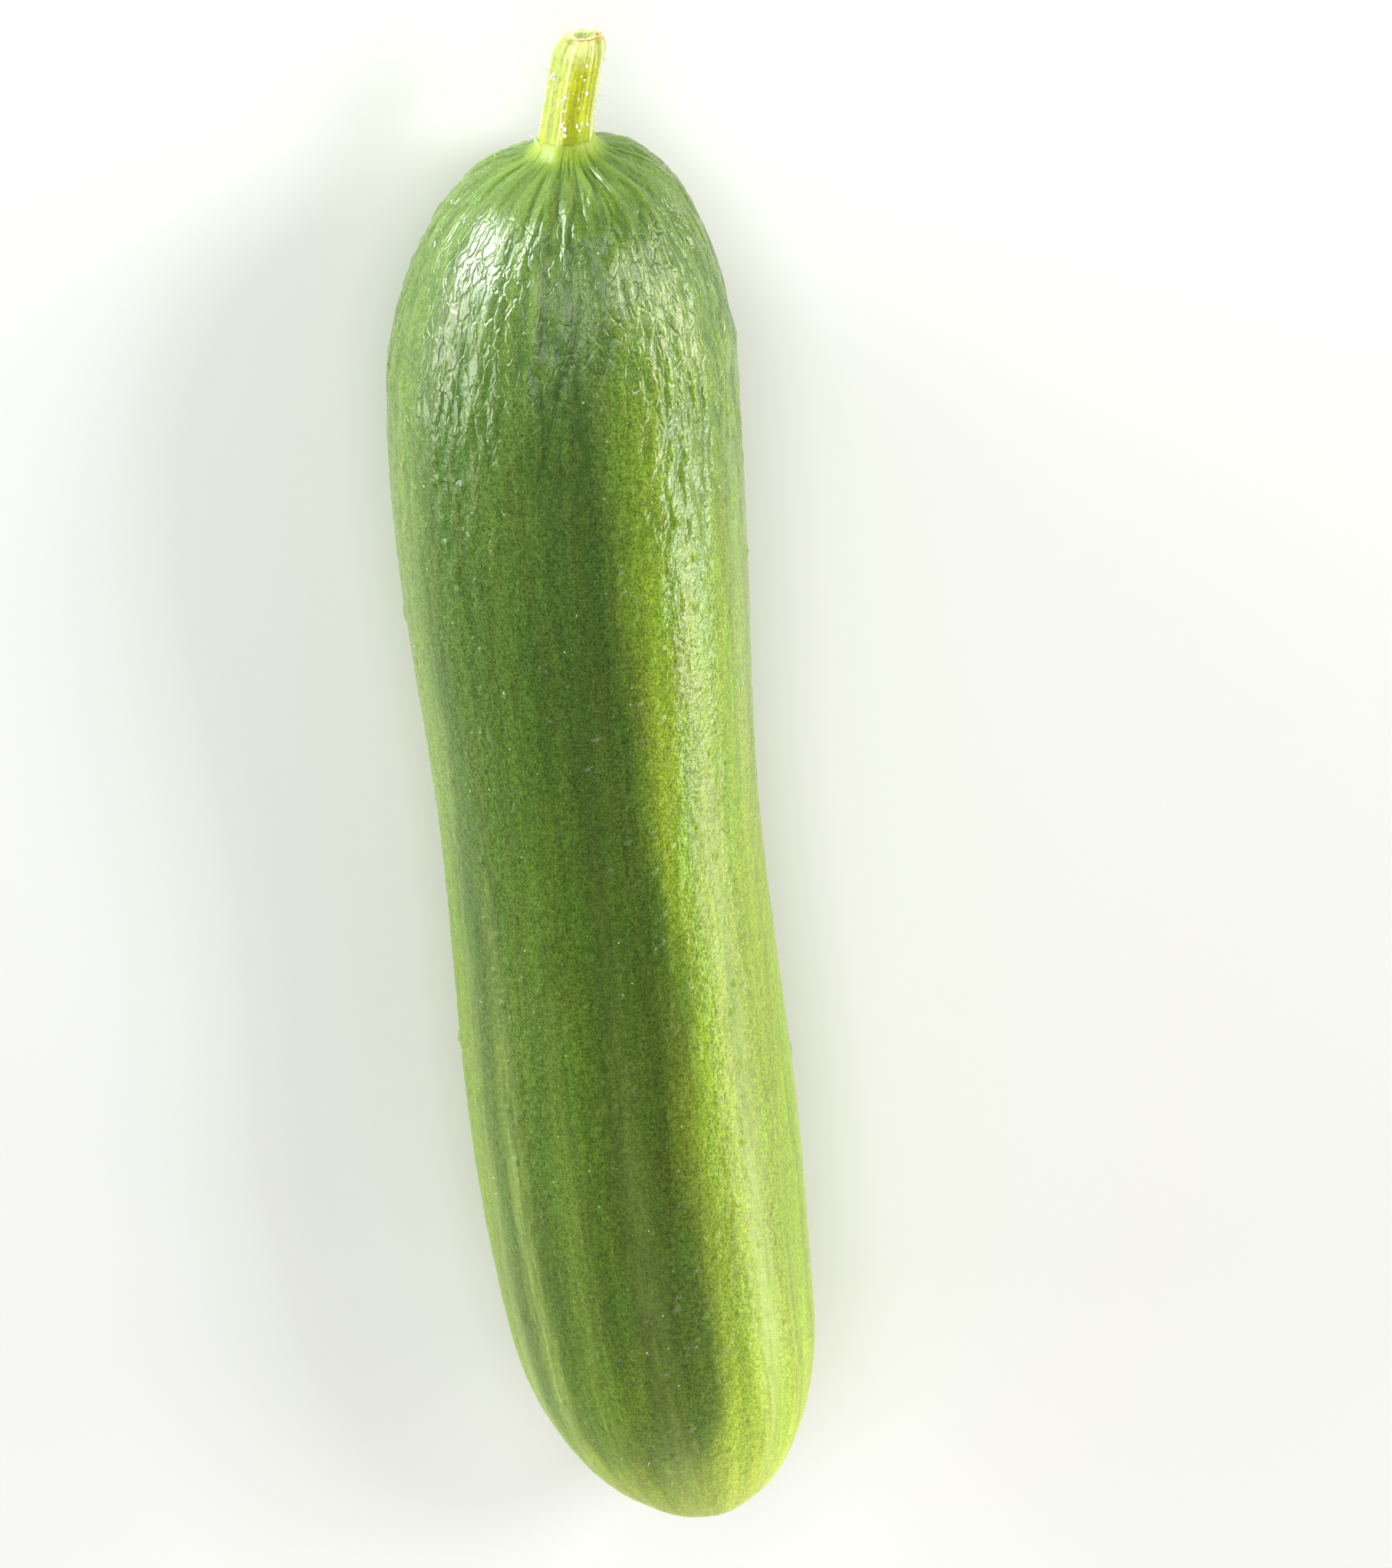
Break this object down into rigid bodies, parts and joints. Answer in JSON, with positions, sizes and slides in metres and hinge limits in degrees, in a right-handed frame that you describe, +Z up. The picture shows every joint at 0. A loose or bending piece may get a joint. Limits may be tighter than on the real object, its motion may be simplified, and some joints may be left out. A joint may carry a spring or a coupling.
{
  "type": "mini cucumber",
  "caption": "Whole small smooth-skinned cucumber lying on its side, slightly bowed, with the short cut stub of its stalk; for food displays, bowls and kitchen scenes.",
  "frame": {"origin": "on the ground, under the middle of the bounding box of fruit and stem together", "axes": "+Z up; +X along the fruit from the blossom end to the cut stem; +Y is the side that the fruit bulges to; -Z is the flat spot that it rests on"},
  "size_m": [0.1504, 0.0308, 0.0305],
  "materials": {
    "fruit_skin": "waxy, finely wrinkled skin, dark green at the stem to yellow-green at the blossom end",
    "stalk": "ribbed yellow-green stalk with pale stripes and a dried brown cut"
  },
  "bodies": {
    "root": {"fruit": "fruit_skin", "stem": "stalk"}
  },
  "joints": []
}
